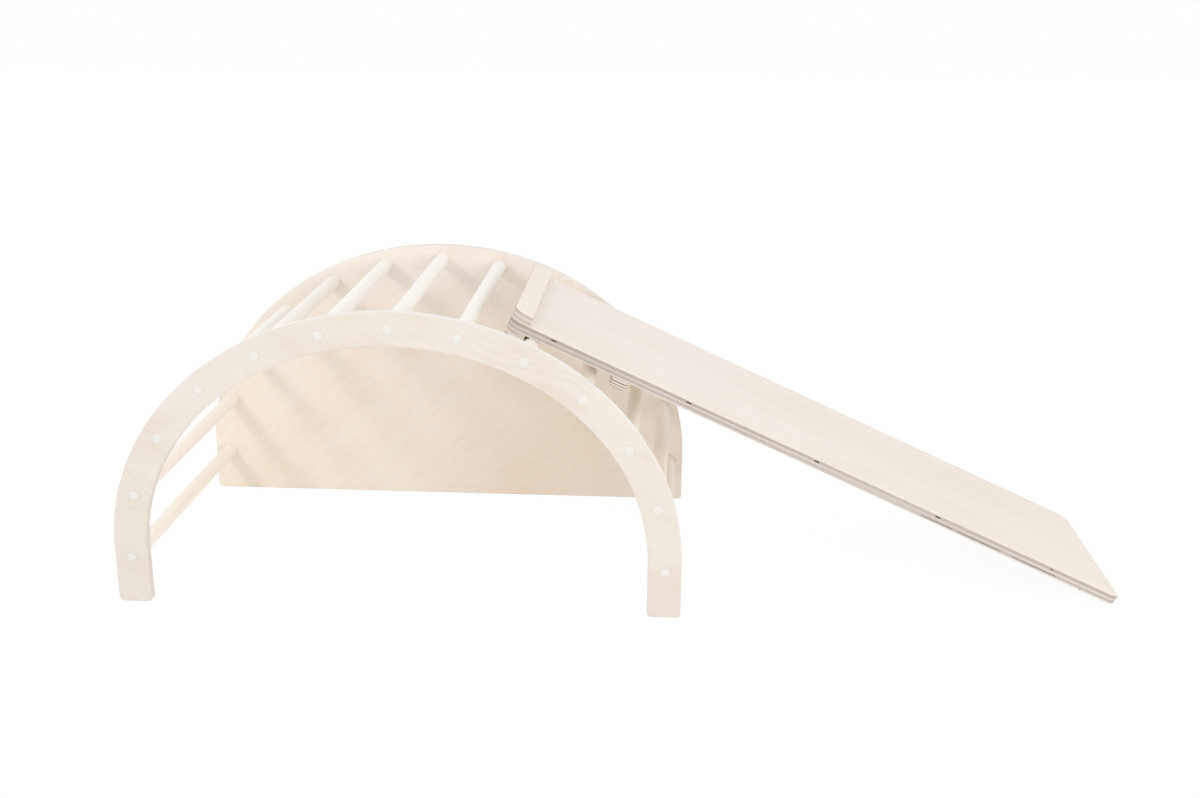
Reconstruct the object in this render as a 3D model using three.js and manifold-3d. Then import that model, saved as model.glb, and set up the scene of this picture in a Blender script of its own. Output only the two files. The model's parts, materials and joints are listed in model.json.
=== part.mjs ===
// A child's wooden climbing arch with a solid back panel, and a ramp that hooks onto one rung.
// Millimetres, +Z up, +X along the arch towards the ramp's foot, +Y from the open front to the
// back panel. The origin is the middle of the whole object's footprint, on the floor.
import * as THREE from "three";
import { mergeVertices } from "three/addons/utils/BufferGeometryUtils.js";
import Module from "manifold-3d";

const wasm = await Module();
wasm.setup();

// Stock that everything is cut from
const ply_thickness = 18;
const rung_diameter = 28;
const edge_ease = 2;

// The arch's centre line: two straight legs that run up into half an ellipse
const leg_spacing = 960;
const crown_height = 520;
const spring_height = 104;
const band_width = 60;
const foot_radius = 10;
const clear_depth = 570;

// The rungs, an equal step apart along the centre line, the middle one at the crown
const rung_count = 13;
const rung_pitch = 120;
const rung_end_ease = 1;
const socket_depth = 5;
const socket_gap = 0.4;
const pilot_depth = 46;

// The screws through the panels into the rungs' ends
const screw_length = 50;
const screw_shank_diameter = 5;
const screw_head_diameter = 9.5;
const screw_head_height = 3;
const screw_tip_length = 6;
const key_socket_diameter = 4;
const key_socket_depth = 2;
const counterbore_depth = 5;

// The white caps over the screws
const cap_diameter = 18;
const cap_rim_height = 0.5;
const cap_dome_height = 1.2;
const cap_stem_length = 1.5;

// The ramp: a board, with a bar across the top of its upper end and two bars under it
const board_length = 1222;
const board_width = 402;
const board_corner_radius = 25;
const end_bar_width = 38;
const end_bar_outer_radius = 30;
const end_bar_inner_radius = 4;
const lock_bar_width = 32;
const lock_bar_radius = 6;
const lock_play = 22;
const hook_rung_past_crown = 2;
const lock_rung_past_crown = 3;

// Clearance at the other fits, the glue between boards, and the overrun of a cut
const fit_gap = 0.3;
const glue_line = 0.3;
const cut_overrun = 2;

// Smoothness
const arch_steps = 48;
const corner_steps = 4;
const rung_sides = 16;
const bore_sides = 8;
const screw_sides = 8;
const cap_sides = 12;

// Sizes that follow
const rung_radius = rung_diameter / 2;
const half_band = band_width / 2;
const centre_half_width = leg_spacing / 2;
const centre_rise = crown_height - spring_height;
const outer_half_width = centre_half_width + half_band;
const outer_rise = centre_rise + half_band;
const inner_half_width = centre_half_width - half_band;
const inner_rise = centre_rise - half_band;
const front_inner_y = ply_thickness;
const back_inner_y = front_inner_y + clear_depth;
const overall_depth = back_inner_y + ply_thickness;

const birch = new THREE.MeshStandardMaterial({ color: 0xf0e7dc, roughness: 0.55 });
const panel_birch = new THREE.MeshStandardMaterial({ color: 0xe9dccb, roughness: 0.6 });
const beech = new THREE.MeshStandardMaterial({ color: 0xf5ede0, roughness: 0.5 });
const zinc = new THREE.MeshStandardMaterial({ color: 0xb9bcc0, roughness: 0.35, metalness: 1 });
const white_plastic = new THREE.MeshStandardMaterial({ color: 0xe9e8e4, roughness: 0.4 });

// A closed geometry as a solid that can be cut and joined
function solidOf(geometry) {
  const bare = geometry.clone();
  bare.deleteAttribute("normal");
  bare.deleteAttribute("uv");
  const merged = mergeVertices(bare);
  const corners = merged.index.array;
  const kept = [];
  for (let i = 0; i < corners.length; i += 3) {
    const [a, b, c] = corners.slice(i, i + 3);
    if (a !== b && b !== c && c !== a) kept.push(a, b, c);
  }
  const triVerts = new Uint32Array(kept);
  const vertProperties = merged.attributes.position.array;
  return new wasm.Manifold(new wasm.Mesh({ numProp: 3, vertProperties, triVerts }));
}

// A solid as a geometry with flat faces
function geometryOf(solid) {
  const { vertProperties, triVerts, numProp } = solid.getMesh();
  const positions = [];
  for (const corner of triVerts) {
    const start = corner * numProp;
    positions.push(...vertProperties.slice(start, start + numProp));
  }
  const geometry = new THREE.BufferGeometry();
  geometry.setAttribute("position", new THREE.Float32BufferAttribute(positions, numProp));
  geometry.computeVertexNormals();
  return geometry;
}

// A solid of revolution about Y, from a profile of [radius, y] points
function turned(profile, sides) {
  const points = profile.map(([radius, y]) => new THREE.Vector2(radius, y));
  return solidOf(new THREE.LatheGeometry(points, sides));
}

function addPiece(group, name, geometry, material) {
  const piece = new THREE.Mesh(geometry, material);
  piece.name = name;
  group.add(piece);
  return piece;
}

// A board cut to an outline, with both its rims eased; it lies in XY with its underside at Z 0
function easedBoard(outline_points) {
  const geometry = new THREE.ExtrudeGeometry(new THREE.Shape(outline_points), {
    depth: ply_thickness - 2 * edge_ease,
    bevelThickness: edge_ease,
    bevelSize: edge_ease,
    bevelOffset: -edge_ease,
    bevelSegments: 1,
  });
  return geometry.translate(0, 0, edge_ease);
}

const left = new THREE.Vector2(-1, 0);
const right = new THREE.Vector2(1, 0);
const up = new THREE.Vector2(0, 1);
const down = new THREE.Vector2(0, -1);

// The points of a round corner, from the side that faces one way to the side that faces the next
function cornerPoints(x, y, from_side, to_side, radius) {
  const centre = new THREE.Vector2(x, y);
  centre.addScaledVector(from_side, -radius).addScaledVector(to_side, -radius);
  const points = [];
  for (let i = 0; i <= corner_steps; i++) {
    const turn = (Math.PI / 2) * (i / corner_steps);
    const point = centre.clone();
    point.addScaledVector(from_side, radius * Math.cos(turn));
    point.addScaledVector(to_side, radius * Math.sin(turn));
    points.push(point);
  }
  return points;
}

// The points of one edge of the arch over the top, from the left leg to the right one
function archPoints(half_width, rise) {
  const points = [];
  for (let i = 0; i <= arch_steps; i++) {
    const turn = Math.PI * (i / arch_steps);
    const x = -half_width * Math.cos(turn);
    points.push(new THREE.Vector2(x, spring_height + rise * Math.sin(turn)));
  }
  return points;
}

// The outer edge that both panels share, from the foot of the left leg to that of the right one
const outer_edge = [
  ...cornerPoints(-outer_half_width, 0, down, left, foot_radius),
  ...archPoints(outer_half_width, outer_rise),
  ...cornerPoints(outer_half_width, 0, right, down, foot_radius),
];
const inner_edge = [
  ...cornerPoints(inner_half_width, 0, down, left, foot_radius),
  ...archPoints(inner_half_width, inner_rise).reverse(),
  ...cornerPoints(-inner_half_width, 0, right, down, foot_radius),
];

// A point of the centre line on its right half: an angle from the crown round the ellipse, and
// past a quarter turn a stretch down the leg
function centreLinePoint(turn) {
  const on_curve = Math.min(turn, Math.PI / 2);
  const down_leg = (turn - on_curve) * centre_half_width;
  const x = centre_half_width * Math.sin(on_curve);
  return new THREE.Vector2(x, spring_height + centre_rise * Math.cos(on_curve) - down_leg);
}

// The rungs' centres, stepped off from the crown as with a pair of dividers set to the pitch
function rungCentres() {
  const half = [centreLinePoint(0)];
  let turn = 0;
  while (half.length < (rung_count + 1) / 2) {
    const from = half[half.length - 1];
    let near = turn;
    let far = turn + Math.PI / 2;
    for (let halving = 0; halving < 50; halving++) {
      const middle = (near + far) / 2;
      if (centreLinePoint(middle).distanceTo(from) < rung_pitch) near = middle;
      else far = middle;
    }
    turn = far;
    half.push(centreLinePoint(turn));
  }
  const mirrored = half.slice(1).map((point) => new THREE.Vector2(-point.x, point.y));
  return [...mirrored.reverse(), ...half];
}

const centres = rungCentres();
const crown_index = (centres.length - 1) / 2;

// A round tool along Y at a rung's centre, between two places on Y given in either order
function drill(centre, radius, y_a, y_b, sides) {
  const geometry = new THREE.CylinderGeometry(radius, radius, Math.abs(y_b - y_a), sides);
  return solidOf(geometry.translate(centre.x, (y_a + y_b) / 2, centre.y));
}

// The seat of one rung in a panel: a blind socket in the inner face, a screw hole right
// through, and a counterbore in the outer face. Outward is -1 to the front and 1 to the back.
function rungSeat(centre, inner_y, outward) {
  const inner_start = inner_y - outward * cut_overrun;
  const outer_y = inner_y + outward * ply_thickness;
  const outer_end = outer_y + outward * cut_overrun;
  const socket_end = inner_y + outward * socket_depth;
  const counterbore_start = outer_y - outward * counterbore_depth;
  const hole_radius = screw_shank_diameter / 2 + fit_gap;
  const counterbore_radius = screw_head_diameter / 2 + fit_gap;
  const socket = drill(centre, rung_radius + socket_gap, inner_start, socket_end, rung_sides);
  const hole = drill(centre, hole_radius, inner_start, outer_end, bore_sides);
  const counterbore = drill(centre, counterbore_radius, counterbore_start, outer_end, bore_sides);
  return socket.add(hole).add(counterbore);
}

// A panel stood upright between its inner and its outer face, with the seats of all the rungs
function drilledPanel(outline_points, inner_y, outward) {
  const back_face_y = Math.max(inner_y, inner_y + outward * ply_thickness);
  const upright = easedBoard(outline_points).rotateX(Math.PI / 2).translate(0, back_face_y, 0);
  let panel = solidOf(upright);
  for (const centre of centres) panel = panel.subtract(rungSeat(centre, inner_y, outward));
  return geometryOf(panel);
}

// A dowel along +Y from Y 0, with eased rims and a pilot bore in each end
function rungGeometry(length) {
  const pilot_radius = screw_shank_diameter / 2 + fit_gap;
  const profile = [
    [0, pilot_depth],
    [pilot_radius, pilot_depth],
    [pilot_radius, 0],
    [rung_radius - rung_end_ease, 0],
    [rung_radius, rung_end_ease],
    [rung_radius, length - rung_end_ease],
    [rung_radius - rung_end_ease, length],
    [pilot_radius, length],
    [pilot_radius, length - pilot_depth],
    [0, length - pilot_depth],
  ];
  return geometryOf(turned(profile, rung_sides));
}

// A screw along +Y: the top of its flat head at Y 0, with a key socket, and a pointed tip
function screwSolid() {
  const profile = [
    [0, key_socket_depth],
    [key_socket_diameter / 2, key_socket_depth],
    [key_socket_diameter / 2, 0],
    [screw_head_diameter / 2, 0],
    [screw_head_diameter / 2, screw_head_height],
    [screw_shank_diameter / 2, screw_head_height],
    [screw_shank_diameter / 2, screw_length - screw_tip_length],
    [0, screw_length],
  ];
  return turned(profile, screw_sides);
}

// A cap along +Y: a low dome in front of Y 0, and a stem behind it that plugs the counterbore
function capSolid(stem_length) {
  const rim_radius = cap_diameter / 2;
  const stem_radius = screw_head_diameter / 2 - fit_gap;
  const profile = [
    [0, -cap_dome_height],
    [rim_radius / 2, -(cap_dome_height + cap_rim_height) / 2 - cap_rim_height / 2],
    [rim_radius - cap_rim_height, -cap_rim_height],
    [rim_radius, 0],
    [stem_radius, 0],
    [stem_radius, stem_length],
    [0, stem_length],
  ];
  return turned(profile, cap_sides);
}

const climber = new THREE.Group();
const arch = new THREE.Group();
climber.add(arch);

const front_panel_geometry = drilledPanel([...outer_edge, ...inner_edge], front_inner_y, -1);
addPiece(arch, "front_arch", front_panel_geometry, birch);
addPiece(arch, "back_panel", drilledPanel(outer_edge, back_inner_y, 1), panel_birch);

// One rung is laid at each centre, with a screw and its cap at the front. At the back the same
// screw and cap are one piece, because the cap is pressed onto the screw's head there.
const rung_length = clear_depth + 2 * socket_depth - 2 * fit_gap;
const rung_start_y = front_inner_y - socket_depth + fit_gap;
const head_sink = counterbore_depth - screw_head_height;
const capped_screw = screwSolid().translate(0, head_sink, 0);
const back_fastener = capped_screw.add(capSolid(head_sink + key_socket_depth));

centres.forEach((centre, i) => {
  const number = String(i + 1).padStart(2, "0");
  const rung = addPiece(arch, `rung_${number}`, rungGeometry(rung_length), beech);
  rung.position.set(centre.x, rung_start_y, centre.y);
  const screw = addPiece(arch, `front_screw_${number}`, geometryOf(screwSolid()), zinc);
  screw.position.set(centre.x, head_sink, centre.y);
  const cap_geometry = geometryOf(capSolid(cap_stem_length));
  const cap = addPiece(arch, `front_cap_${number}`, cap_geometry, white_plastic);
  cap.position.set(centre.x, 0, centre.y);
  const fastener_geometry = geometryOf(back_fastener);
  const fastener = addPiece(arch, `back_capped_screw_${number}`, fastener_geometry, white_plastic);
  fastener.position.set(centre.x, overall_depth, centre.y);
  fastener.rotation.z = Math.PI;
});

// The ramp's slope: its underside lies on the hook rung and its lower edge stands on the floor
const hook_centre = centres[crown_index + hook_rung_past_crown];
const lock_centre = centres[crown_index + lock_rung_past_crown];
const underside = rung_radius + fit_gap;
const board_start = -(underside + end_bar_width);
const board_end = board_start + board_length;
const standing_edge = board_end - edge_ease;
const rung_to_floor = Math.hypot(standing_edge, underside);
const slope = Math.asin(hook_centre.y / rung_to_floor) + Math.atan2(underside, standing_edge);

// The points of a plate from X start to X end, centred on Y 0, with a corner radius at each end
function platePoints(start, end, start_radius, end_radius) {
  const half = board_width / 2;
  return [
    ...cornerPoints(start, -half, left, down, start_radius),
    ...cornerPoints(end, -half, down, right, end_radius),
    ...cornerPoints(end, half, right, up, end_radius),
    ...cornerPoints(start, half, up, left, start_radius),
  ];
}

// The ramp lies in a frame of its own: X down the slope, Z square to the board, and the hook
// rung's centre at the origin
const ramp = new THREE.Group();
ramp.position.set(hook_centre.x, overall_depth / 2, hook_centre.y);
ramp.rotation.y = slope;
climber.add(ramp);

function addPlate(name, points, z) {
  const plate = addPiece(ramp, name, easedBoard(points), birch);
  plate.position.z = z;
}

const end_bar_end = board_start + end_bar_width;
const end_bar_points = platePoints(
  board_start, end_bar_end, end_bar_outer_radius, end_bar_inner_radius,
);
const board_points = platePoints(board_start, board_end, board_corner_radius, board_corner_radius);
const under_bar_z = underside - glue_line - ply_thickness;
addPlate("ramp_board", board_points, underside);
addPlate("ramp_top_bar", end_bar_points, underside + ply_thickness + glue_line);
addPlate("ramp_hook_bar", end_bar_points, under_bar_z);

// The lock bar hangs past the next rung down, so the ramp can't be pushed up off the hook rung
const to_lock_rung = lock_centre.clone().sub(hook_centre);
const lock_rung_run = to_lock_rung.x * Math.cos(slope) - to_lock_rung.y * Math.sin(slope);
const lock_start = lock_rung_run + rung_radius + lock_play;
const lock_end = lock_start + lock_bar_width;
addPlate(
  "ramp_lock_bar", platePoints(lock_start, lock_end, lock_bar_radius, lock_bar_radius), under_bar_z,
);

// The origin goes to the middle of the footprint, from the arch's left edge to the ramp's end
const top_rim = underside + ply_thickness - edge_ease;
const ramp_end_x = hook_centre.x + board_end * Math.cos(slope) + top_rim * Math.sin(slope);
climber.position.set(-(ramp_end_x - outer_half_width) / 2, -overall_depth / 2, 0);

const part = new THREE.Group();
part.add(climber);

export default part;
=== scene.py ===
import json
import math
import bmesh
import bpy
from mathutils import Matrix, Vector


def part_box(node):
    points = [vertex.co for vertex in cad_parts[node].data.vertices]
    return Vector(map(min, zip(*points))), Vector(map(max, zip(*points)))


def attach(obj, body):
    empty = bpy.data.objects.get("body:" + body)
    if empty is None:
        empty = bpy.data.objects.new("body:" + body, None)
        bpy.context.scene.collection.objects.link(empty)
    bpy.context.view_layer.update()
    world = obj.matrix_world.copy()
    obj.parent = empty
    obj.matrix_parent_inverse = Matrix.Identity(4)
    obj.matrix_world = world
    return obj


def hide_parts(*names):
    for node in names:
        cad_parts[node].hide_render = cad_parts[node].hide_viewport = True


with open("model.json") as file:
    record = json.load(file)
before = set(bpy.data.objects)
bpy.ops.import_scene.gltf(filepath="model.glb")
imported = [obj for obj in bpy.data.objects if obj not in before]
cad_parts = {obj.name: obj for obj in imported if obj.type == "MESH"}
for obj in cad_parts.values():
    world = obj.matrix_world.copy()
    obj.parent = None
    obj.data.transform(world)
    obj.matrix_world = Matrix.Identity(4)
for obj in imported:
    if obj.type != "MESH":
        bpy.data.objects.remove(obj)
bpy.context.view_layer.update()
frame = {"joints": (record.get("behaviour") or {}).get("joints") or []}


# The view: from in front of the open side, a little to the right of the arch's middle and twice as
# high as the crown, looking slightly down. It was worked out from where the rungs' ends show. Its
# places are in metres and its turns in radians.
front_low, front_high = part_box("front_arch")
arch_middle = (front_low.x + front_high.x) / 2
arch_height = front_high.z

view_right_of_middle = 0.48965
view_before_arch = 2.33087
view_height = 1.13294
view_turn = 0.0541
view_tilt_down = 0.3018
view_roll = 0.0075
lens_length = 42.98

camera = bpy.data.cameras.new("camera")
camera.lens = lens_length
camera_object = bpy.data.objects.new("camera", camera)
camera_object.location = (
    arch_middle + view_right_of_middle,
    front_low.y - view_before_arch,
    view_height,
)
camera_object.rotation_euler = (
    Matrix.Rotation(view_turn, 3, "Z")
    @ Matrix.Rotation(math.pi / 2 - view_tilt_down, 3, "X")
    @ Matrix.Rotation(view_roll, 3, "Z")
).to_euler()
bpy.context.scene.collection.objects.link(camera_object)
bpy.context.scene.camera = camera_object


# The front arch: one band of 18 mm birch plywood, open below, cut to half an ellipse on two short
# straight legs. Its rims are rounded over, and each rung sits in a blind socket in its back face,
# held by a screw whose head lies in a counterbore in the front face.
band_width = 0.060
spring_height = 0.104
foot_radius = 0.0075
arch_steps = 180
foot_steps = 8
outer_half_width = (front_high.x - front_low.x) / 2
ply_thickness = front_high.y - front_low.y
ply_count = 13


class Socket:
    """A socket of a node tree. Adding or multiplying it, and so on, adds a Math node."""

    def __init__(self, nodes, socket):
        self.nodes = nodes
        self.socket = socket

    def maths(self, operation, *values):
        settings = {"operation": operation}
        return self.nodes.add("ShaderNodeMath", settings, dict(enumerate(values)))

    def __add__(self, other):
        return self.maths("ADD", self, other)

    def __radd__(self, other):
        return self.maths("ADD", other, self)

    def __sub__(self, other):
        return self.maths("SUBTRACT", self, other)

    def __rsub__(self, other):
        return self.maths("SUBTRACT", other, self)

    def __mul__(self, other):
        return self.maths("MULTIPLY", self, other)

    def __rmul__(self, other):
        return self.maths("MULTIPLY", other, self)

    def __truediv__(self, other):
        return self.maths("DIVIDE", self, other)

    def __pow__(self, other):
        return self.maths("POWER", self, other)

    def __lt__(self, other):
        return self.maths("LESS_THAN", self, other)

    def __gt__(self, other):
        return self.maths("GREATER_THAN", self, other)

    def floor(self):
        return self.maths("FLOOR", self)

    def fraction(self):
        return self.maths("FRACT", self)

    def sine(self):
        return self.maths("SINE", self)

    def cosine(self):
        return self.maths("COSINE", self)

    def at_least(self, other):
        return self.maths("MAXIMUM", self, other)

    def at_most(self, other):
        return self.maths("MINIMUM", self, other)

    def between(self, low, high):
        """0 below low, 1 above high, and a smooth rise from one to the other."""
        settings = {"interpolation_type": "SMOOTHSTEP"}
        values = {"Value": self, "From Min": low, "From Max": high}
        return self.nodes.add("ShaderNodeMapRange", settings, values)


class Nodes:
    """A node tree that is being built."""

    def __init__(self, tree):
        self.tree = tree

    def add(self, kind, settings=None, values=None, output=0):
        """Adds a node: its settings first, then the values or links of its sockets."""
        node = self.tree.nodes.new(kind)
        for name, setting in (settings or {}).items():
            if name == "steps":
                self.set_steps(node.color_ramp, setting)
            else:
                setattr(node, name, setting)
        for key, value in (values or {}).items():
            self.feed(node.inputs[key], value)
        return Socket(self, node.outputs[output])

    def feed(self, plug, value):
        """Sets a socket's value, or links a socket, or each of a list of them, to it."""
        for one in value if isinstance(value, list) else [value]:
            if isinstance(one, Socket):
                self.tree.links.new(one.socket, plug)
            else:
                plug.default_value = one

    def set_steps(self, ramp, steps):
        """Makes a ramp that jumps to each grey level at its position, and is level in between."""
        ramp.interpolation = "CONSTANT"
        while len(ramp.elements) < len(steps):
            ramp.elements.new(1.0)
        for element, (position, level) in zip(ramp.elements, steps):
            element.position = position
            element.color = (level, level, level, 1.0)


class Finish(Nodes):
    """A material, and the nodes that colour it."""

    def __init__(self, name):
        self.material = bpy.data.materials.new(name)
        self.material.use_nodes = True
        super().__init__(self.material.node_tree)
        self.shader = self.tree.nodes["Principled BSDF"]

    def surface(self, **values):
        """Feeds the shader's own sockets, named with an underscore for each space."""
        for name, value in values.items():
            self.feed(self.shader.inputs[name.replace("_", " ")], value)

    def place(self, origin=(0, 0, 0), turn=(0, 0, 0)):
        """Object coordinates, in metres, in a frame at origin that is turned by three angles."""
        where = self.add("ShaderNodeTexCoord", output="Object")
        values = {"Vector": where, "Location": origin, "Rotation": turn}
        return self.add("ShaderNodeMapping", {"vector_type": "TEXTURE"}, values)

    def noise(self, place, scale, shift=(0, 0, 0), detail=2.0, distortion=0.0):
        """A cloudy pattern from 0 to 1, whose scale is in spots to the metre along each axis."""
        stretch = {"Vector": place, "Location": shift, "Scale": scale}
        spots = self.add("ShaderNodeMapping", {"vector_type": "POINT"}, stretch)
        values = {"Vector": spots, "Scale": 1.0, "Detail": detail, "Distortion": distortion}
        return self.add("ShaderNodeTexNoise", None, values)

    def axes(self, place):
        """X, Y and Z of a place."""
        return [self.add("ShaderNodeSeparateXYZ", None, {0: place}, axis) for axis in range(3)]

    def mix(self, share, first, second):
        """The first colour where share is 0, and the second where it is 1."""
        colours = {0: share, 6: first, 7: second}
        return self.add("ShaderNodeMix", {"data_type": "RGBA"}, colours, 2)

    def bump(self, height, distance, strength):
        """A normal for a relief whose height of 1 stands that distance proud."""
        values = {"Height": height, "Distance": distance, "Strength": strength}
        return self.add("ShaderNodeBump", None, values)


def srgb(red, green, blue):
    """A colour as it shows on a screen, in 0 to 255, as the linear colour that a shader takes."""
    def linear(level):
        share = level / 255
        return share / 12.92 if share <= 0.04045 else ((share + 0.055) / 1.055) ** 2.4
    return (linear(red), linear(green), linear(blue), 1.0)


def rotary_veneer(finish, place, along, across, face, seed):
    """The face of a peeled birch sheet: X of place runs with the grain. Its growth rings show as
    the contour lines of a slow swell, because the knife cuts them at a very flat angle. Broad
    ripples and fine fibres lie along the grain, and the whole has a few cloudy patches. A wide
    sheet also drifts from pale to tan along its length. On the back panel that drift is painted
    shade, and its paler end and pinker top are painted light."""
    slow = finish.noise(place, face["swell"], (seed, 0, 0), face["rough"], face["bend"])
    rings = (slow * face["rings"]).fraction()
    line = rings.between(0.35, 0.90) * (1 - rings.between(0.92, 1.0))
    fading = finish.noise(place, face["patch"], (0, seed, 0))
    ripple = finish.noise(place, face["ripple"], (seed, seed, 0), distortion=0.4)
    fibre = finish.noise(place, face["fibre"], (0, 0, seed), detail=3.0)
    cloud = finish.noise(place, face["cloud"], (seed, 0, seed))
    depth = line * fading.between(0.32, 0.62) * face["line_share"]
    depth = depth + ripple.between(0.40, 0.70) * face["ripple_share"]
    depth = depth + (fibre - 0.5) * face["fibre_share"]
    depth = depth + cloud.between(0.30, 0.75) * face["cloud_share"]
    depth = depth + along * face["drift"]
    pale, tan = face["pale"], face["tan"]
    # Painted light: the back panel's right end is paler and its top is pinker.
    if "painted_light_end" in face:
        depth = depth - along.between(*face["painted_light_end_span"]) * face["painted_light_end"]
        top_painted_light = across.between(*face["painted_light_top_span"])
        pale = finish.mix(top_painted_light, pale, face["painted_light_top_pale"])
        tan = finish.mix(top_painted_light, tan, face["painted_light_top_tan"])
    return finish.mix(depth.at_least(0.0).at_most(1.0), pale, tan), fibre


gap_reach = 1.25


def span_steps(spans):
    """The steps of a ramp that is 1 on the spans and 0 elsewhere, as far along a sheet as the gap
    reach, in metres."""
    steps = [(0.0, 0.0)]
    for start, end in spans:
        steps += [(start / gap_reach, 1.0), (end / gap_reach, 0.0)]
    return steps


ply_waviness = 0.025
ply_tone_weight = 0.7
ply_speck_weight = 0.6
glue_line_weight = 0.25
back_veneer_share = 0.060
veneer_fade = 0.010
gap_fade = 0.020


def plywood(name, origin, turn, grain_turn, face, edge, seed):
    """Birch plywood as one solid pattern: Z of its frame goes through the sheet from one face to the
    other, so every cut shows the plies that it goes through. Every second ply shows its end grain
    there, which is darker, and has a gap here and there."""
    finish = Finish(name)
    sheet = finish.place(origin, turn)
    along, across, depth = finish.axes(sheet)
    turned = {"Vector": sheet, "Rotation": (0, 0, grain_turn)}
    with_grain = finish.add("ShaderNodeMapping", {"vector_type": "TEXTURE"}, turned)
    veneer, fibre = rotary_veneer(finish, with_grain, along, across, face, seed)

    wave = finish.noise(sheet, (9.0, 9.0, 0.0), (0, seed, 0)) - 0.5
    share = (depth / ply_thickness + wave * ply_waviness).at_least(0.0).at_most(0.999)
    layer = share * ply_count
    number = layer.floor()
    within = layer.fraction()
    crosswise = (number / 2).fraction() * 2
    tones = [(ply / ply_count, tone) for ply, tone in enumerate(edge["tones"])]
    dark = finish.add("ShaderNodeValToRGB", {"steps": tones}, {"Fac": share})

    def along_ply(scale, step, detail):
        """A noise that differs from ply to ply, because each lies that step further on in it."""
        values = {0: along * scale + seed, 1: across * scale, 2: number * step}
        spot = finish.add("ShaderNodeCombineXYZ", None, values)
        noise = {"Vector": spot, "Scale": 1.0, "Detail": detail}
        return finish.add("ShaderNodeTexNoise", None, noise)

    tone = along_ply(3.0, 3.7, 1.0)
    speck = along_ply(650.0, 5.3, 2.0)
    glue = 1 - within.between(0.0, 0.14) * (1 - within.between(0.90, 1.0))
    uneven = (tone - 0.5) * ply_tone_weight + (speck - 0.5) * ply_speck_weight * crosswise
    uneven = uneven + (glue - 0.2) * glue_line_weight
    dark = dark + uneven * edge["unevenness"]
    # Painted shade: the edge inside the arch's middle line is darker, where it is turned from the
    # light.
    if "inner_painted_shade" in edge:
        sideways = along / (outer_half_width - band_width / 2)
        middle_rise = arch_height - spring_height - band_width / 2
        upward = (across - spring_height).at_least(0.0) / middle_rise
        inside = sideways * sideways + upward * upward < 1.0
        dark = dark + inside * edge["inner_painted_shade"]
    plies = finish.mix(dark.at_least(0.0).at_most(1.0), edge["pale"], edge["dark"])

    gap_from = edge["gap_from"]
    gap = along_ply(24.0, 9.1, 0.0).between(gap_from, gap_from + gap_fade) * crosswise
    for ply, spans in edge["gaps"].items():
        ramp = {"steps": span_steps(spans)}
        open_there = finish.add("ShaderNodeValToRGB", ramp, {"Fac": along / gap_reach})
        gap = gap.at_least(open_there * (number > ply - 0.5) * (number < ply + 0.5))
    gap = gap * within.between(0.0, 0.15)
    plies = finish.mix(gap, plies, edge["gap"])

    veneer_from = edge["veneer_from"]
    core = share.between(back_veneer_share, back_veneer_share + veneer_fade)
    core = core * (1 - share.between(veneer_from, veneer_from + veneer_fade))
    relief = fibre * (1 - core) + speck * core - gap * 3.0
    finish.surface(
        Base_Color=finish.mix(core, veneer, plies),
        Roughness=0.50 + (fibre - 0.5) * 0.12 + core * 0.15,
        Normal=finish.bump(relief, 0.00008, 0.6),
    )
    return finish.material


def named(name, mesh=None):
    """A new object in the scene, at the origin."""
    piece = bpy.data.objects.new(name, mesh or bpy.data.meshes.new(name))
    bpy.context.scene.collection.objects.link(piece)
    return piece


def apply_modifiers(piece):
    """Turns what the piece's modifiers make into its own plain mesh."""
    graph = bpy.context.evaluated_depsgraph_get()
    evaluated = piece.evaluated_get(graph)
    made = bpy.data.meshes.new_from_object(
        evaluated, preserve_all_data_layers=True, depsgraph=graph
    )
    piece.modifiers.clear()
    piece.data = made


rim_radius = 0.002
rim_steps = 4
rim_angle = math.radians(50)
smooth_angle = math.radians(35)


def round_over(piece):
    """Rounds the sharp rims of a board."""
    bevel = piece.modifiers.new("rims", "BEVEL")
    bevel.width = rim_radius
    bevel.segments = rim_steps
    bevel.limit_method = "ANGLE"
    bevel.angle_limit = rim_angle
    bevel.miter_outer = "MITER_ARC"


def smooth_shading(piece):
    """Round parts look round, and flat faces stay flat."""
    for face in piece.data.polygons:
        face.use_smooth = True
    piece.data.set_sharp_from_angle(angle=smooth_angle)
    weighted = piece.modifiers.new("normals", "WEIGHTED_NORMAL")
    weighted.keep_sharp = True
    apply_modifiers(piece)


def shape_tree(name, inputs):
    """An empty Geometry Nodes tree with named inputs, and its own Group Input as sockets by name."""
    tree = bpy.data.node_groups.new(name, "GeometryNodeTree")
    tree.interface.new_socket("Geometry", in_out="INPUT", socket_type="NodeSocketGeometry")
    tree.interface.new_socket("Geometry", in_out="OUTPUT", socket_type="NodeSocketGeometry")
    for input_name, kind in inputs.items():
        tree.interface.new_socket(input_name, in_out="INPUT", socket_type="NodeSocket" + kind)
    nodes = Nodes(tree)
    source = tree.nodes.new("NodeGroupInput")
    given = {plug.name: Socket(nodes, plug) for plug in source.outputs if plug.name}
    return nodes, given


def close_tree(nodes, geometry, material):
    """The end of every tree: real faces in place of copies, and their material."""
    real = nodes.add("GeometryNodeRealizeInstances", None, {"Geometry": geometry})
    values = {"Geometry": real, "Material": material}
    finished = nodes.add("GeometryNodeSetMaterial", None, values)
    end = nodes.tree.nodes.new("NodeGroupOutput")
    nodes.feed(end.inputs[0], finished)


def grow(piece, nodes, values):
    """Gives the piece a modifier with that tree, its inputs set by identifier."""
    modifier = piece.modifiers.new(nodes.tree.name, "NODES")
    modifier.node_group = nodes.tree
    for item in nodes.tree.interface.items_tree:
        if item.in_out == "INPUT" and item.name in values:
            modifier[item.identifier] = values[item.name]


weld_distance = 0.00001


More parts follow.
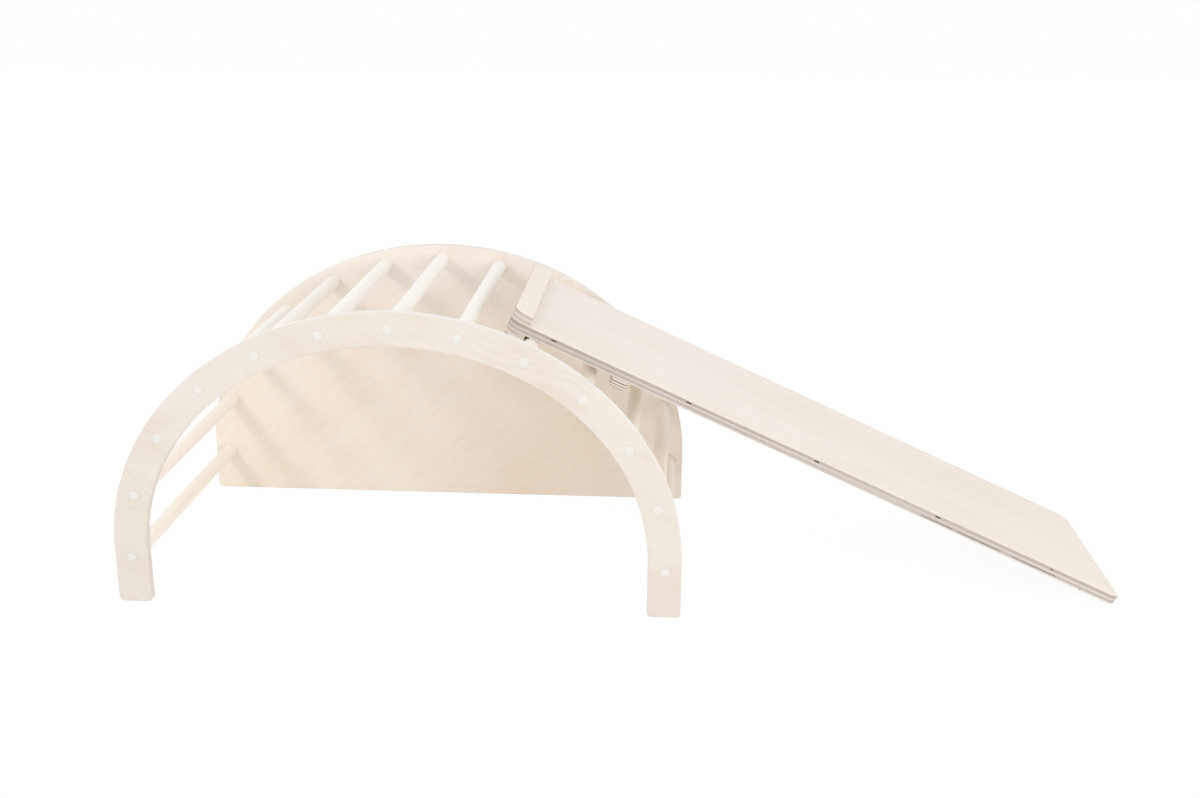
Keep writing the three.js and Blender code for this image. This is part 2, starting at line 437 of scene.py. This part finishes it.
def panel_tree():
    """A board cut to the arch's outline. Its points go up the left leg, over the top and down the
    right leg, and then, where there is a band, back along its inner edge. Each edge has the points
    of its curve and one more at each foot."""
    lengths = ("Half Width", "Rise", "Spring Height", "Band", "Foot Radius", "Thickness")
    places = ("Front", "Middle")
    counts = ("Edges", "Steps", "Foot Steps")
    inputs = {name: "Float" for name in lengths + places}
    inputs |= {name: "Int" for name in counts}
    inputs |= {"Material": "Material"}
    nodes, given = shape_tree("panel_outline", inputs)
    per_edge = given["Steps"] + 3
    line = nodes.add("GeometryNodeMeshLine", None, {"Count": per_edge * given["Edges"]})
    index = nodes.add("GeometryNodeInputIndex")
    edge = (index / per_edge).floor()
    along = index - edge * per_edge
    along = along + edge * (per_edge - 1 - along * 2)
    turn = ((along - 1) / given["Steps"]).at_least(0.0).at_most(1.0) * math.pi
    at_foot = (along < 0.5).at_least(along > per_edge - 1.5)
    half_width = given["Half Width"] - edge * given["Band"]
    rise = given["Rise"] - edge * given["Band"]
    x = given["Middle"] - half_width * turn.cosine()
    z = (given["Spring Height"] + rise * turn.sine()) * (1 - at_foot)
    point = nodes.add("ShaderNodeCombineXYZ", None, {0: x, 1: z})
    outline = nodes.add("GeometryNodeSetPosition", None, {"Geometry": line, "Position": point})
    curve = nodes.add("GeometryNodeMeshToCurve", None, {"Mesh": outline})
    loop = nodes.add("GeometryNodeSetSplineCyclic", None, {0: curve, 2: True})
    corner = {"Curve": loop, "Count": given["Foot Steps"], "Radius": at_foot * given["Foot Radius"]}
    eased = nodes.add("GeometryNodeFilletCurve", {"mode": "POLY"}, corner)
    face = nodes.add("GeometryNodeFillCurve", {"mode": "NGONS"}, {"Curve": eased})
    up = nodes.add("ShaderNodeCombineXYZ", None, {2: 1.0})
    thicken = {"Mesh": face, "Offset": up, "Offset Scale": given["Thickness"], "Individual": False}
    walls = nodes.add("GeometryNodeExtrudeMesh", {"mode": "FACES"}, thicken)
    under = nodes.add("GeometryNodeFlipFaces", None, {"Mesh": face})
    closed = nodes.add("GeometryNodeJoinGeometry", None, {"Geometry": [walls, under]})
    weld = {"Geometry": closed, "Distance": weld_distance}
    welded = nodes.add("GeometryNodeMergeByDistance", None, weld)
    back = nodes.add("ShaderNodeCombineXYZ", None, {1: given["Front"] + given["Thickness"]})
    upright = {"Geometry": welded, "Translation": back, "Rotation": (math.pi / 2, 0, 0)}
    stood = nodes.add("GeometryNodeTransform", None, upright)
    close_tree(nodes, stood, given["Material"])
    return nodes


panel_shape = panel_tree()
panel_sizes = {
    "Half Width": outer_half_width,
    "Rise": arch_height - spring_height,
    "Spring Height": spring_height,
    "Band": band_width,
    "Foot Radius": foot_radius,
    "Thickness": ply_thickness,
    "Middle": arch_middle,
    "Steps": arch_steps,
    "Foot Steps": foot_steps,
}

upright_sheet = (math.pi / 2, 0, 0)
# The scales of a face are in spots to the metre, with the grain and across it. The tones of an edge
# go ply by ply from the sheet's back face to its front one, from pale at 0 to dark at 1.
front_face = {
    "pale": srgb(226, 218, 210),
    "tan": srgb(211, 199, 184),
    "swell": (2.2, 6.0, 0.0),
    "rough": 1.0,
    "bend": 0.8,
    "rings": 26.0,
    "patch": (4.0, 9.0, 0.0),
    "ripple": (9.0, 55.0, 0.0),
    "fibre": (30.0, 420.0, 0.0),
    "cloud": (6.0, 11.0, 0.0),
    "line_share": 0.22,
    "ripple_share": 0.13,
    "fibre_share": 0.18,
    "cloud_share": 0.32,
    "drift": 0.0,
}
sheet_edge = {
    "gap": srgb(150, 132, 118),
    "tones": (0.0, 0.18, 0.05, 0.32, 0.05, 0.22, 0.05, 0.22, 0.05, 0.32, 0.05, 0.22, 0.0),
    "unevenness": 0.4,
    "veneer_from": 0.93,
    "gap_from": 0.80,
    "gaps": {},
}
# The arch's pale edges are partly whitewash and partly a painted sheen along the rounded outer rim;
# inside the arch the edge is darkened as painted shade.
front_edge = sheet_edge | {
    "pale": srgb(250, 247, 243),
    "dark": srgb(202, 191, 178),
    "inner_painted_shade": 0.45,
}
arch_ply = plywood(
    "arch_ply",
    origin=(arch_middle, front_high.y, 0),
    turn=upright_sheet,
    grain_turn=math.radians(-22),
    face=front_face,
    edge=front_edge,
    seed=3.1,
)


rung_count = 13
rung_numbers = range(1, rung_count + 1)
rung_low, rung_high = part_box("rung_01")
rung_radius = (rung_high.z - rung_low.z) / 2
socket_gap = 0.0001
socket_depth = 0.005
screw_hole_radius = 0.0028
counterbore_radius = 0.00505
counterbore_depth = 0.005
drill_overrun = 0.002
drill_sides = 40


def rung_point(number, y):
    """The point on a rung's axis at that Y."""
    low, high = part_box(f"rung_{number:02d}")
    return Vector(((low.x + high.x) / 2, y, (low.z + high.z) / 2))


def seat_drills(inner_y, outward):
    """The drills for one panel's seats: a socket, a screw hole and a counterbore at each rung."""
    outer_y = inner_y + outward * ply_thickness
    before_y = inner_y - outward * drill_overrun
    beyond_y = outer_y + outward * drill_overrun
    cuts = (
        (rung_radius + socket_gap, before_y, inner_y + outward * socket_depth),
        (screw_hole_radius, inner_y, beyond_y),
        (counterbore_radius, outer_y - outward * counterbore_depth, beyond_y),
    )
    drills = bmesh.new()
    for number in rung_numbers:
        for radius, start, end in cuts:
            middle = Matrix.Translation(rung_point(number, (start + end) / 2))
            bmesh.ops.create_cone(
                drills,
                cap_ends=True,
                segments=drill_sides,
                radius1=radius,
                radius2=radius,
                depth=abs(end - start),
                matrix=middle @ Matrix.Rotation(math.pi / 2, 4, "X"),
            )
    tool = named("drills")
    drills.to_mesh(tool.data)
    drills.free()
    return tool


def drill(piece, inner_y, outward):
    """Cuts the seats of all the rungs into a panel."""
    tool = seat_drills(inner_y, outward)
    cut = piece.modifiers.new("seats", "BOOLEAN")
    cut.operation = "DIFFERENCE"
    cut.object = tool
    cut.solver = "EXACT"
    cut.use_self = True
    apply_modifiers(piece)
    bpy.data.objects.remove(tool)


front_arch = named("open_front_arch")
front_sizes = panel_sizes | {"Front": front_low.y, "Edges": 2, "Material": arch_ply}
grow(front_arch, panel_shape, front_sizes)
round_over(front_arch)
apply_modifiers(front_arch)
drill(front_arch, front_high.y, -1)
smooth_shading(front_arch)
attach(front_arch, "arch")
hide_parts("front_arch")


# The back panel: one solid sheet of the same plywood with the same outer edge, standing on the floor
# along its whole length. Its face shows the broad ovals of a peeled birch sheet.
back_low, back_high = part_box("back_panel")
back_face = {
    "pale": srgb(242, 232, 220),
    "tan": srgb(230, 207, 177),
    "swell": (2.0, 3.4, 0.0),
    "rough": 3.0,
    "bend": 1.2,
    "rings": 34.0,
    "patch": (3.0, 4.5, 0.0),
    "ripple": (12.0, 70.0, 0.0),
    "fibre": (40.0, 330.0, 0.0),
    "cloud": (2.4, 3.8, 0.0),
    "line_share": 0.10,
    "ripple_share": 0.12,
    "fibre_share": 0.20,
    "cloud_share": 0.28,
    # Painted shade: the drift makes the panel tanner towards its right end. The pale end and the top
    # colours are painted light.
    "drift": 0.22,
    "painted_light_end": 0.52,
    "painted_light_end_span": (0.30, 0.47),
    "painted_light_top_span": (0.34, 0.50),
    "painted_light_top_pale": srgb(240, 232, 224),
    "painted_light_top_tan": srgb(227, 213, 199),
}
back_edge = sheet_edge | {"pale": srgb(246, 242, 237), "dark": srgb(202, 189, 172)}
panel_ply = plywood(
    "panel_ply",
    origin=(arch_middle, back_high.y, 0),
    turn=upright_sheet,
    grain_turn=math.radians(38),
    face=back_face,
    edge=back_edge,
    seed=7.7,
)

back_panel = named("solid_back_panel")
back_sizes = panel_sizes | {"Front": back_low.y, "Edges": 1, "Material": panel_ply}
grow(back_panel, panel_shape, back_sizes)
round_over(back_panel)
apply_modifiers(back_panel)
drill(back_panel, back_low.y, 1)
smooth_shading(back_panel)
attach(back_panel, "arch")
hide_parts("back_panel")


# The rungs: thirteen turned hardwood dowels, sanded smooth, whose ends sit in the panels' sockets.
# They are one dowel laid at every centre, and the ninth is a piece of its own, because the ramp
# turns about it.
rung_end_ease = 0.0012
dowel_sides = 56
ease_steps = 5


def turned_tree(name, sizes, profile, steps_each_end):
    """A piece turned on the Y axis, laid at each point of the mesh that it is given, each copy with
    a turn and a tone of its own. The profile takes the sizes, the steps to the nearer end and
    whether that is the far one, and gives the place on the axis and the radius."""
    inputs = {size: "Float" for size in sizes}
    inputs |= {"Sides": "Int", "Seed": "Int", "Material": "Material"}
    nodes, given = shape_tree(name, inputs)
    count = 2 * steps_each_end + 2
    line = nodes.add("GeometryNodeMeshLine", None, {"Count": count})
    index = nodes.add("GeometryNodeInputIndex")
    far = index > steps_each_end + 0.5
    step = index + far * (count - 1 - index * 2)
    y, radius = profile(given, step, far)
    point = nodes.add("ShaderNodeCombineXYZ", None, {1: y})
    axis = nodes.add("GeometryNodeSetPosition", None, {"Geometry": line, "Position": point})
    curve = nodes.add("GeometryNodeMeshToCurve", None, {"Mesh": axis})
    sized = nodes.add("GeometryNodeSetCurveRadius", None, {"Curve": curve, "Radius": radius})
    circle = {"Resolution": given["Sides"], "Radius": 1.0}
    ring = nodes.add("GeometryNodeCurvePrimitiveCircle", None, circle)
    body = {"Curve": sized, "Profile Curve": ring, "Scale": radius, "Fill Caps": True}
    skin = nodes.add("GeometryNodeCurveToMesh", None, body)
    weld = {"Geometry": skin, "Distance": weld_distance}
    turned = nodes.add("GeometryNodeMergeByDistance", None, weld)
    any_turn = {0: (0, 0, 0), 1: (0, math.tau, 0), "Seed": given["Seed"]}
    about_axis = nodes.add("FunctionNodeRandomValue", {"data_type": "FLOAT_VECTOR"}, any_turn)
    lay = {"Points": given["Geometry"], "Instance": turned, "Rotation": about_axis}
    laid = nodes.add("GeometryNodeInstanceOnPoints", None, lay)
    any_tone = {2: 0.0, 3: 1.0, "Seed": given["Seed"]}
    own = nodes.add("FunctionNodeRandomValue", {"data_type": "FLOAT"}, any_tone, 1)
    each_copy = {"data_type": "FLOAT", "domain": "INSTANCE"}
    mark = {"Geometry": laid, "Name": "own_tone", "Value": own}
    marked = nodes.add("GeometryNodeStoreNamedAttribute", each_copy, mark)
    close_tree(nodes, marked, given["Material"])
    return nodes


def lay_at(name, points, nodes, values, mirrored=False):
    """One mesh of all the copies of a turned piece, or the mirror image of that in the XZ plane."""
    piece = named(name)
    piece.data.from_pydata([tuple(point) for point in points], [], [])
    grow(piece, nodes, values)
    apply_modifiers(piece)
    if mirrored:
        piece.data.transform(Matrix.Diagonal((1, -1, 1, 1)))
        piece.data.flip_normals()
    smooth_shading(piece)
    return piece


def dowel_profile(size, step, far):
    """A dowel whose ends are eased by a quarter round."""
    turn = step * (math.pi / 2 / ease_steps)
    inset = size["Ease"] * (1 - turn.cosine())
    y = inset + far * (size["Length"] - inset * 2)
    return y, size["Radius"] - size["Ease"] * (1 - turn.sine())


def own_tone(finish):
    """The random number of each copy of a turned piece, from 0 to 1."""
    return finish.add("ShaderNodeAttribute", {"attribute_name": "own_tone"}, None, "Fac")


# Painted shade: where the rungs turn browner, in metres to the right and left of the arch's middle.
painted_shade_right_span = (0.20, 0.40)
painted_shade_right_share = 0.62
painted_shade_left_span = (0.42, 0.46)
painted_shade_left_share = 0.40


def dowel_wood():
    """Pale sanded wood with streaks along the dowel. The rungs near both feet are browner: painted
    shade.
    """
    finish = Finish("dowel_wood")
    where = finish.place()
    own = own_tone(finish)
    shift = finish.add("ShaderNodeCombineXYZ", None, {0: own * 11, 1: own * 7, 2: own * 5})
    moved = finish.add("ShaderNodeVectorMath", {"operation": "ADD"}, {0: where, 1: shift})
    streak = finish.noise(moved, (160.0, 5.0, 160.0), detail=3.0)
    cloud = finish.noise(moved, (22.0, 2.5, 22.0))
    depth = streak.between(0.40, 0.75) * 0.20 + cloud.between(0.35, 0.75) * 0.22
    depth = depth + (own - 0.5) * 0.16
    from_middle = finish.axes(where)[0] - arch_middle
    # Painted shade: the rungs near both feet are browner.
    depth = depth + from_middle.between(*painted_shade_right_span) * painted_shade_right_share
    depth = depth + (0 - from_middle).between(*painted_shade_left_span) * painted_shade_left_share
    depth = depth.at_least(0.0).at_most(1.0)
    finish.surface(
        Base_Color=finish.mix(depth, srgb(254, 251, 246), srgb(245, 234, 218)),
        Roughness=0.42 + streak * 0.10,
        Normal=finish.bump(streak, 0.00006, 0.5),
    )
    return finish.material


dowel_shape = turned_tree("dowel", ("Length", "Radius", "Ease"), dowel_profile, ease_steps)
dowel_sizes = {
    "Length": rung_high.y - rung_low.y,
    "Radius": rung_radius,
    "Ease": rung_end_ease,
    "Sides": dowel_sides,
    "Seed": 4,
    "Material": dowel_wood(),
}

hook_rung_number = 9
fixed_numbers = [n for n in rung_numbers if n != hook_rung_number]
fixed_points = [rung_point(n, rung_low.y) for n in fixed_numbers]
rungs = lay_at("rungs", fixed_points, dowel_shape, dowel_sizes)
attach(rungs, "arch")
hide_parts(*[f"rung_{n:02d}" for n in fixed_numbers])
hook_point = rung_point(hook_rung_number, rung_low.y)
hook_rung = lay_at("hook_rung", [hook_point], dowel_shape, dowel_sizes)
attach(hook_rung, "hook_rung")
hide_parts(f"rung_{hook_rung_number:02d}")


# The cover caps: low white plastic domes pressed over the screws' heads, on both panels. Each has a
# short stem that plugs the counterbore.
cap_low, cap_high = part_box("front_cap_01")
cap_radius = (cap_high.x - cap_low.x) / 2
cap_rise = front_low.y - cap_low.y
cap_rim_share = 0.35
cap_flatness = 6.0
cap_stem_radius = 0.0044
cap_stem_length = 0.0015
cap_steps = 8
cap_sides = 48


def cap_profile(size, step, far):
    """A low dome that rises from its rim, with the stem as its far end."""
    turn = step * (math.pi / 2 / cap_steps)
    height = 1 - (1 - cap_rim_share) * turn.sine() ** cap_flatness
    inner = far * (1 - step / cap_steps)
    y = inner * size["Stem"] - (1 - far) * size["Rise"] * height
    radius = size["Radius"] * turn.sine() * (1 - far) + far * size["Stem Radius"] * (step > 0.5)
    return y, radius


def cap_plastic():
    """White plastic with a fine matt skin, each cap a shade of its own."""
    finish = Finish("cap_plastic")
    where = finish.place()
    pores = finish.noise(where, (900.0, 900.0, 900.0))
    cloud = finish.noise(where, (60.0, 60.0, 60.0))
    depth = cloud * 0.5 + (own_tone(finish) - 0.5) * 0.3
    finish.surface(
        Base_Color=finish.mix(depth.at_least(0.0), srgb(226, 223, 218), srgb(219, 216, 210)),
        Roughness=0.52 + pores * 0.12,
        Normal=finish.bump(pores, 0.00003, 0.4),
    )
    return finish.material


cap_shape = turned_tree("cap", ("Radius", "Rise", "Stem", "Stem Radius"), cap_profile, cap_steps)
cap_sizes = {
    "Radius": cap_radius,
    "Rise": cap_rise,
    "Stem": cap_stem_length,
    "Stem Radius": cap_stem_radius,
    "Sides": cap_sides,
    "Seed": 9,
    "Material": cap_plastic(),
}


def lay_on_panels(kind, inset, nodes, values):
    """A turned piece at both ends of every rung, that far inside the panels' outer faces."""
    at_front = [rung_point(n, front_low.y + inset) for n in rung_numbers]
    at_back = [rung_point(n, inset - back_high.y) for n in rung_numbers]
    front = lay_at("front_" + kind, at_front, nodes, values)
    back = lay_at("back_" + kind, at_back, nodes, values, mirrored=True)
    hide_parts(*[f"back_capped_screw_{n:02d}" for n in rung_numbers])
    for piece in (front, back):
        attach(piece, "arch")
    return front, back


front_caps, back_caps = lay_on_panels("caps", 0.0, cap_shape, cap_sizes)
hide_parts(*[f"front_cap_{n:02d}" for n in rung_numbers])


# The screws: zinc-plated steel with a round key recess in the head, one through each panel into each
# rung's end, hidden under the caps. Their threads are drawn as rings.
screw_length = 0.050
screw_head_radius = 0.00475
screw_head_height = 0.003
screw_key_radius = 0.0022
screw_key_depth = 0.0018
screw_shank_radius = 0.0025
screw_shank_step = 0.00149
screw_tip_length = 0.006
screw_pitch = 0.0024
screw_thread_share = 0.24
screw_steps = 20
screw_sides = 16


def screw_profile(size, step, far):
    """From the key's floor: its wall, the head's face, rim and underside, and the smooth shank. From
    the tip: the rings of the thread, on a cone at first and then on the shank."""
    past_head = (step - 5).at_least(0.0) * size["Shank Step"]
    y = (step < 1.5) * size["Key Depth"] + (step > 3.5) * size["Head Height"] + past_head
    radius = (step > 0.5) * (step < 2.5) * size["Key Radius"]
    radius = radius + (step > 2.5) * (step < 4.5) * size["Head Radius"]
    radius = radius + (step > 4.5) * size["Shank Radius"]
    reach = step * (size["Pitch"] / 2)
    cone = (reach / size["Tip Length"]).at_most(1.0) * size["Shank Radius"]
    ridge = 1 - (step / 2).fraction() * 2 * screw_thread_share
    near = 1 - far
    return near * y + far * (size["Length"] - reach), near * radius + far * cone * ridge


def zinc_plate():
    """Bright zinc, a little dull in patches."""
    finish = Finish("zinc_plate")
    cloud = finish.noise(finish.place(), (300.0, 300.0, 300.0), detail=3.0)
    finish.surface(
        Base_Color=finish.mix(cloud, srgb(206, 208, 212), srgb(176, 180, 186)),
        Metallic=1.0,
        Roughness=0.28 + cloud * 0.20,
    )
    return finish.material


screw_sizes = {
    "Length": screw_length,
    "Head Radius": screw_head_radius,
    "Head Height": screw_head_height,
    "Key Radius": screw_key_radius,
    "Key Depth": screw_key_depth,
    "Shank Radius": screw_shank_radius,
    "Shank Step": screw_shank_step,
    "Tip Length": screw_tip_length,
    "Pitch": screw_pitch,
}
screw_shape = turned_tree("screw", tuple(screw_sizes), screw_profile, screw_steps)
screw_sizes |= {"Sides": screw_sides, "Seed": 5, "Material": zinc_plate()}
head_sink = counterbore_depth - screw_head_height
front_screws, back_screws = lay_on_panels("screws", head_sink, screw_shape, screw_sizes)
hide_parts(*[f"front_screw_{n:02d}" for n in rung_numbers])


# The ramp: a long 18 mm plywood board with rounded corners and its plies bare along the edges. It
# lies on the ninth rung and on the floor, in a frame of its own: X down the slope, Z square to it.
lift_axis = Vector(next(joint["axis"] for joint in frame["joints"] if joint["name"] == "ramp_lift"))
slope = math.atan2(lift_axis.x, lift_axis.z)
hook_centre = rung_point(hook_rung_number, 0.0)
ramp_frame = Matrix.Translation(hook_centre) @ Matrix.Rotation(slope, 4, "Y")
board_low, board_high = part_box("ramp_board")
board_width = board_high.y - board_low.y
board_length = 1.2215
board_corner_radius = 0.025
end_bar_width = 0.038
fit_gap = 0.0003
corner_steps = 10
under_rim_steps = 6
underside = rung_radius + fit_gap
board_start = -(underside + end_bar_width)
board_middle_y = (board_low.y + board_high.y) / 2


def plate(name, start, end, z, corner_radii, under_rim, material):
    """A board in the ramp's frame, as wide as the ramp, from X start to X end. It has a corner
    radius for each end, and its lower rim is rounded further where a radius is given for that."""
    outline = []
    for x, radius, inward, side, first_turn in (
        (start, corner_radii[0], 1, -1, math.pi),
        (end, corner_radii[1], -1, -1, 1.5 * math.pi),
        (end, corner_radii[1], -1, 1, 0.0),
        (start, corner_radii[0], 1, 1, 0.5 * math.pi),
    ):
        centre_x = x + inward * radius
        centre_y = side * (board_width / 2 - radius)
        for step in range(corner_steps + 1):
            turn = first_turn + math.pi / 2 * step / corner_steps
            point = (centre_x + radius * math.cos(turn), centre_y + radius * math.sin(turn), z)
            outline.append(point)
    board = bmesh.new()
    face = board.faces.new([board.verts.new(point) for point in outline])
    made = bmesh.ops.extrude_face_region(board, geom=[face])
    moved = [item for item in made["geom"] if isinstance(item, bmesh.types.BMVert)]
    bmesh.ops.translate(board, verts=moved, vec=(0, 0, ply_thickness))
    bmesh.ops.recalc_face_normals(board, faces=board.faces)
    if under_rim:
        halfway = z + ply_thickness / 2
        lower = [edge for edge in board.edges if all(vert.co.z < halfway for vert in edge.verts)]
        bmesh.ops.bevel(
            board,
            geom=lower,
            offset=under_rim,
            segments=under_rim_steps,
            profile=0.5,
            affect="EDGES",
        )
    piece = named(name)
    board.to_mesh(piece.data)
    board.free()
    piece.data.materials.append(material)
    round_over(piece)
    apply_modifiers(piece)
    smooth_shading(piece)
    piece.data.transform(ramp_frame @ Matrix.Translation((0, board_middle_y, 0)))
    return piece


ramp_face = {
    "pale": srgb(247, 239, 231),
    "tan": srgb(230, 216, 198),
    "swell": (0.9, 7.0, 0.0),
    "rough": 1.0,
    "bend": 0.8,
    "rings": 20.0,
    "patch": (2.0, 14.0, 0.0),
    "ripple": (3.0, 60.0, 0.0),
    "fibre": (9.0, 330.0, 0.0),
    "cloud": (4.0, 9.0, 0.0),
    "line_share": 0.12,
    "ripple_share": 0.06,
    "fibre_share": 0.14,
    "cloud_share": 0.24,
    "drift": 0.22,
}
# Where the dark gaps lie, in metres down from the board's upper end, by the number of the ply.
veneer_joints = ((0.029, 0.038), (0.292, 0.301), (0.545, 0.554), (0.788, 0.797), (1.021, 1.030))
ramp_edge = {
    "pale": srgb(221, 215, 210),
    "dark": srgb(145, 127, 110),
    "gap": srgb(58, 42, 30),
    "tones": (0.0, 0.25, 0.28, 0.76, 0.42, 0.48, 0.24, 0.45, 0.27, 0.88, 0.48, 0.72, 0.50),
    "unevenness": 1.0,
    "veneer_from": 0.97,
    "gap_from": 0.80,
    "gaps": {
        3: ((0.762, 0.828), (0.836, 0.924), (0.948, 1.036)),
        9: veneer_joints,
        10: veneer_joints,
    },
}
ramp_turn = (0, slope, 0)
board_origin = ramp_frame @ Vector((0, 0, underside))
ramp_ply = plywood("ramp_ply", board_origin, ramp_turn, 0.0, ramp_face, ramp_edge, 1.3)
board_end = board_start + board_length
board_radii = (board_corner_radius, board_corner_radius)
ramp_board = plate("ramp_board_ply", board_start, board_end, underside, board_radii, 0.0, ramp_ply)
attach(ramp_board, "ramp")
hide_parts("ramp_board")


# The bars: three short strips of the same plywood, glued across the board. One lies on top of its
# upper end, one under it hooks behind the rung, and one further down keeps the ramp on the rung.
glue_line = 0.0003
end_bar_outer_radius = 0.030
end_bar_inner_radius = 0.004
lock_bar_width = 0.032
lock_bar_radius = 0.006
lock_play = 0.022
lock_under_rim = 0.0055
above_board = underside + ply_thickness + glue_line
below_board = underside - glue_line - ply_thickness
bar_face = ramp_face | {"pale": srgb(248, 239, 228), "tan": srgb(238, 224, 206)}
bar_edge = ramp_edge | {
    "pale": srgb(229, 221, 213),
    "dark": srgb(148, 130, 114),
    "tones": (0.0, 0.1, 0.2, 0.9, 0.15, 0.3, 0.1, 0.3, 0.15, 0.9, 0.2, 0.6, 0.4),
    "gaps": {},
}
lock_bar_edge = bar_edge | {
    "dark": srgb(136, 116, 100),
    "tones": (0.6, 0.8, 0.1, 0.0, 0.3, 0.9, 0.1, 0.0, 0.7, 1.0, 0.1, 0.0, 0.5),
}
end_bar_end = board_start + end_bar_width
end_bar_radii = (end_bar_outer_radius, end_bar_inner_radius)
to_lock_rung = ramp_frame.inverted() @ rung_point(hook_rung_number + 1, 0.0)
lock_start = to_lock_rung.x + rung_radius + lock_play
lock_end = lock_start + lock_bar_width
lock_radii = (lock_bar_radius, lock_bar_radius)
across_ramp = math.pi / 2
for node, start, end, z, radii, under_rim, edge in (
    ("ramp_top_bar", board_start, end_bar_end, above_board, end_bar_radii, 0.0, bar_edge),
    ("ramp_hook_bar", board_start, end_bar_end, below_board, end_bar_radii, 0.0, bar_edge),
    ("ramp_lock_bar", lock_start, lock_end, below_board, lock_radii, lock_under_rim, lock_bar_edge),
):
    origin = ramp_frame @ Vector((start, 0, z))
    ply = plywood(node + "_ply", origin, ramp_turn, across_ramp, bar_face, edge, start * 9)
    bar = plate(node + "_strip", start, end, z, radii, under_rim, ply)
    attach(bar, "ramp")
    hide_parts(node)


# The studio: a white floor that runs out of sight, even light from all round, and three soft lamps.
# The near one, high on the left, lays the rungs' faint shadows on the back panel.
floor_half_size = 12.0
floor_whiteness = 0.88
floor_glow = 1.05
world_strength = 0.825
key_power = 11.3
key_size = 0.5
key_place = Vector((-1.9, -1.6, 1.75))
fill_power = 33.5
fill_size = 1.8
fill_place = Vector((2.4, -3.0, 1.5))
low_power = 3.0
low_size = 0.8
low_place = Vector((1.2, -1.6, 0.3))
lamp_target = Vector((arch_middle + 0.3, 0.0, 0.25))


def is_seen(nodes):
    """1 for a ray that shows what it meets to the camera, straight, mirrored or through something,
    and 0 for one that carries its light."""
    rays = nodes.tree.nodes.new("ShaderNodeLightPath")
    straight = Socket(nodes, rays.outputs["Is Camera Ray"])
    mirrored = Socket(nodes, rays.outputs["Is Glossy Ray"])
    through = Socket(nodes, rays.outputs["Is Transmission Ray"])
    return straight.at_least(mirrored).at_least(through)


def white_floor():
    """A white floor that shows nearly as bright as it can, and keeps a trace of the shadows."""
    finish = Finish("floor_white")
    grit = finish.noise(finish.place(), (3.0, 3.0, 3.0))
    colour = finish.mix(grit, srgb(246, 246, 246), srgb(249, 249, 249))
    finish.surface(Base_Color=colour, Roughness=0.9)
    white = {"Color": (1, 1, 1, 1), "Strength": floor_glow}
    glow = finish.add("ShaderNodeEmission", None, white)
    lit = Socket(finish, finish.shader.outputs[0])
    blend = {0: is_seen(finish) * floor_whiteness, 1: lit, 2: glow}
    both = finish.add("ShaderNodeMixShader", None, blend)
    finish.feed(finish.tree.nodes["Material Output"].inputs["Surface"], both)
    return finish.material


floor_mesh = bpy.data.meshes.new("floor")
square = ((-1, -1), (1, -1), (1, 1), (-1, 1))
corners = [(x * floor_half_size, y * floor_half_size, 0) for x, y in square]
floor_mesh.from_pydata(corners, [], [(0, 1, 2, 3)])
floor_mesh.materials.append(white_floor())
floor = named("floor", floor_mesh)

world = bpy.data.worlds.new("studio")
bpy.context.scene.world = world
world.use_nodes = True
sky = Nodes(world.node_tree)
background = world.node_tree.nodes["Background"]
background.inputs["Color"].default_value = (1, 1, 1, 1)
strength = world_strength + is_seen(sky) * (1.0 - world_strength)
sky.feed(background.inputs["Strength"], strength)


def soft_lamp(name, place, size, power):
    """A square lamp that faces the arch."""
    lamp = bpy.data.lights.new(name, "AREA")
    lamp.energy = power
    lamp.size = size
    stand = bpy.data.objects.new(name, lamp)
    stand.location = place
    stand.rotation_euler = (lamp_target - place).to_track_quat("-Z", "Y").to_euler()
    bpy.context.scene.collection.objects.link(stand)


soft_lamp("key_lamp", key_place, key_size, key_power)
soft_lamp("fill_lamp", fill_place, fill_size, fill_power)
soft_lamp("low_lamp", low_place, low_size, low_power)

bpy.context.scene.view_settings.view_transform = "Standard"
